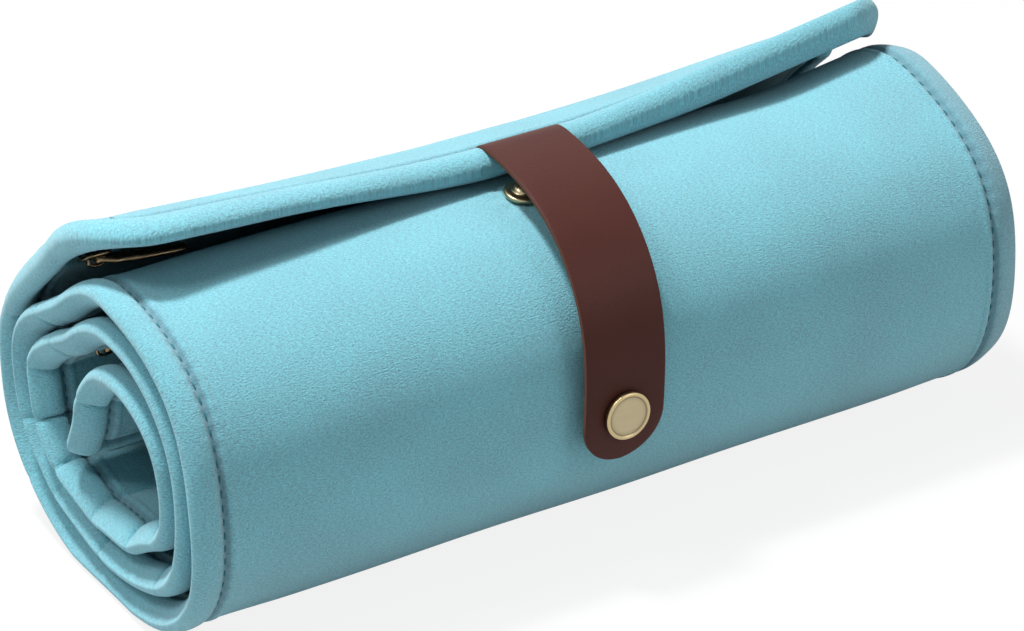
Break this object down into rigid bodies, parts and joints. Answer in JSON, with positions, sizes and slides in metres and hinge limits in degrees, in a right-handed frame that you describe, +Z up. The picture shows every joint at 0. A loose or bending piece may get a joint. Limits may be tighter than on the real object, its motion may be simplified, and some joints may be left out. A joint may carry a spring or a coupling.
{
  "type": "jewelry roll",
  "caption": "Padded cloth roll wound on itself, with a lifting outer flap, a leather strap that snaps shut at the front and zipped pockets in its lining.",
  "frame": {"origin": "middle of the roll's length, on the flat foot that rests on the table", "axes": "+X along the roll to its right end, +Y to the back, +Z up"},
  "size_m": [0.2446, 0.1131, 0.1052],
  "materials": {
    "velvet": "short-pile velvet",
    "lining": "short-pile velvet",
    "padding": "soft wadding",
    "zip_tape": "woven tape",
    "strap_leather": "smooth, semi-matte",
    "snap_brass": "brushed, pale",
    "zip_brass": "polished"
  },
  "bodies": {
    "roll": {"cover_wound": "velvet", "padding_wound": "padding", "lining_middle": "lining", "lining_inner": "lining", "binding_left_wound": "velvet", "binding_right_wound": "velvet", "binding_inner_end": "velvet", "snap_stud_lower": "snap_brass", "stud_back_lower": "snap_brass", "snap_stud_upper": "snap_brass", "stud_back_upper": "snap_brass", "inner_zip_tape_outer": "zip_tape", "inner_zip_tape_inner": "zip_tape", "inner_zip_teeth_outer": "zip_brass", "inner_zip_teeth_inner": "zip_brass", "inner_zip_stop_left": "zip_brass", "inner_zip_stop_right": "zip_brass", "inner_zip_pocket_sheet": "lining"},
    "flap": {"cover_flap": "velvet", "padding_flap": "padding", "lining_flap_edge": "lining", "lining_flap_back": "lining", "binding_left_flap": "velvet", "binding_right_flap": "velvet", "binding_flap_edge": "velvet", "strap_root": "strap_leather", "flap_zip_tape_outer": "zip_tape", "flap_zip_tape_inner": "zip_tape", "flap_zip_teeth_outer": "zip_brass", "flap_zip_teeth_inner": "zip_brass", "flap_zip_stop_left": "zip_brass", "flap_zip_stop_right": "zip_brass", "flap_zip_pocket_sheet": "lining"},
    "strap": {"strap_tongue": "strap_leather", "snap_cap": "snap_brass", "snap_socket": "snap_brass"},
    "flap_slider": {"flap_zip_slider": "zip_brass"},
    "flap_pull": {"flap_zip_pull": "zip_brass"},
    "inner_slider": {"inner_zip_slider": "zip_brass"},
    "inner_pull": {"inner_zip_pull": "zip_brass"}
  },
  "joints": [
    {"name": "flap_lift", "type": "hinge", "parent": "roll", "child": "flap", "pos_m": [0, 0.05282, 0.04697], "axis": [-1, 0, 0], "range_deg": [0, 42]},
    {"name": "strap_swing", "type": "hinge", "parent": "flap", "child": "strap", "pos_m": [-0.00509, -0.05287, 0.07115], "axis": [-1, 0, 0], "range_deg": [0, 120]},
    {"name": "flap_zip_slide", "type": "slide", "parent": "flap", "child": "flap_slider", "axis": [1, 0, 0], "range_m": [0, 0.207]},
    {"name": "flap_pull_swing", "type": "hinge", "parent": "flap_slider", "child": "flap_pull", "pos_m": [-0.1038, 0.02267, 0.07293], "axis": [0, 0.8585, -0.5127], "range_deg": [0, 5]},
    {"name": "inner_zip_slide", "type": "slide", "parent": "roll", "child": "inner_slider", "axis": [1, 0, 0], "range_m": [0, 0.207]},
    {"name": "inner_pull_swing", "type": "hinge", "parent": "inner_slider", "child": "inner_pull", "pos_m": [-0.1038, 0.02208, 0.05167], "axis": [0, 0.8934, -0.4492], "range_deg": [0, 12]}
  ],
  "couplings": [
    {"joint": "strap_swing", "follows": "flap_lift", "ratio": 2.857}
  ]
}
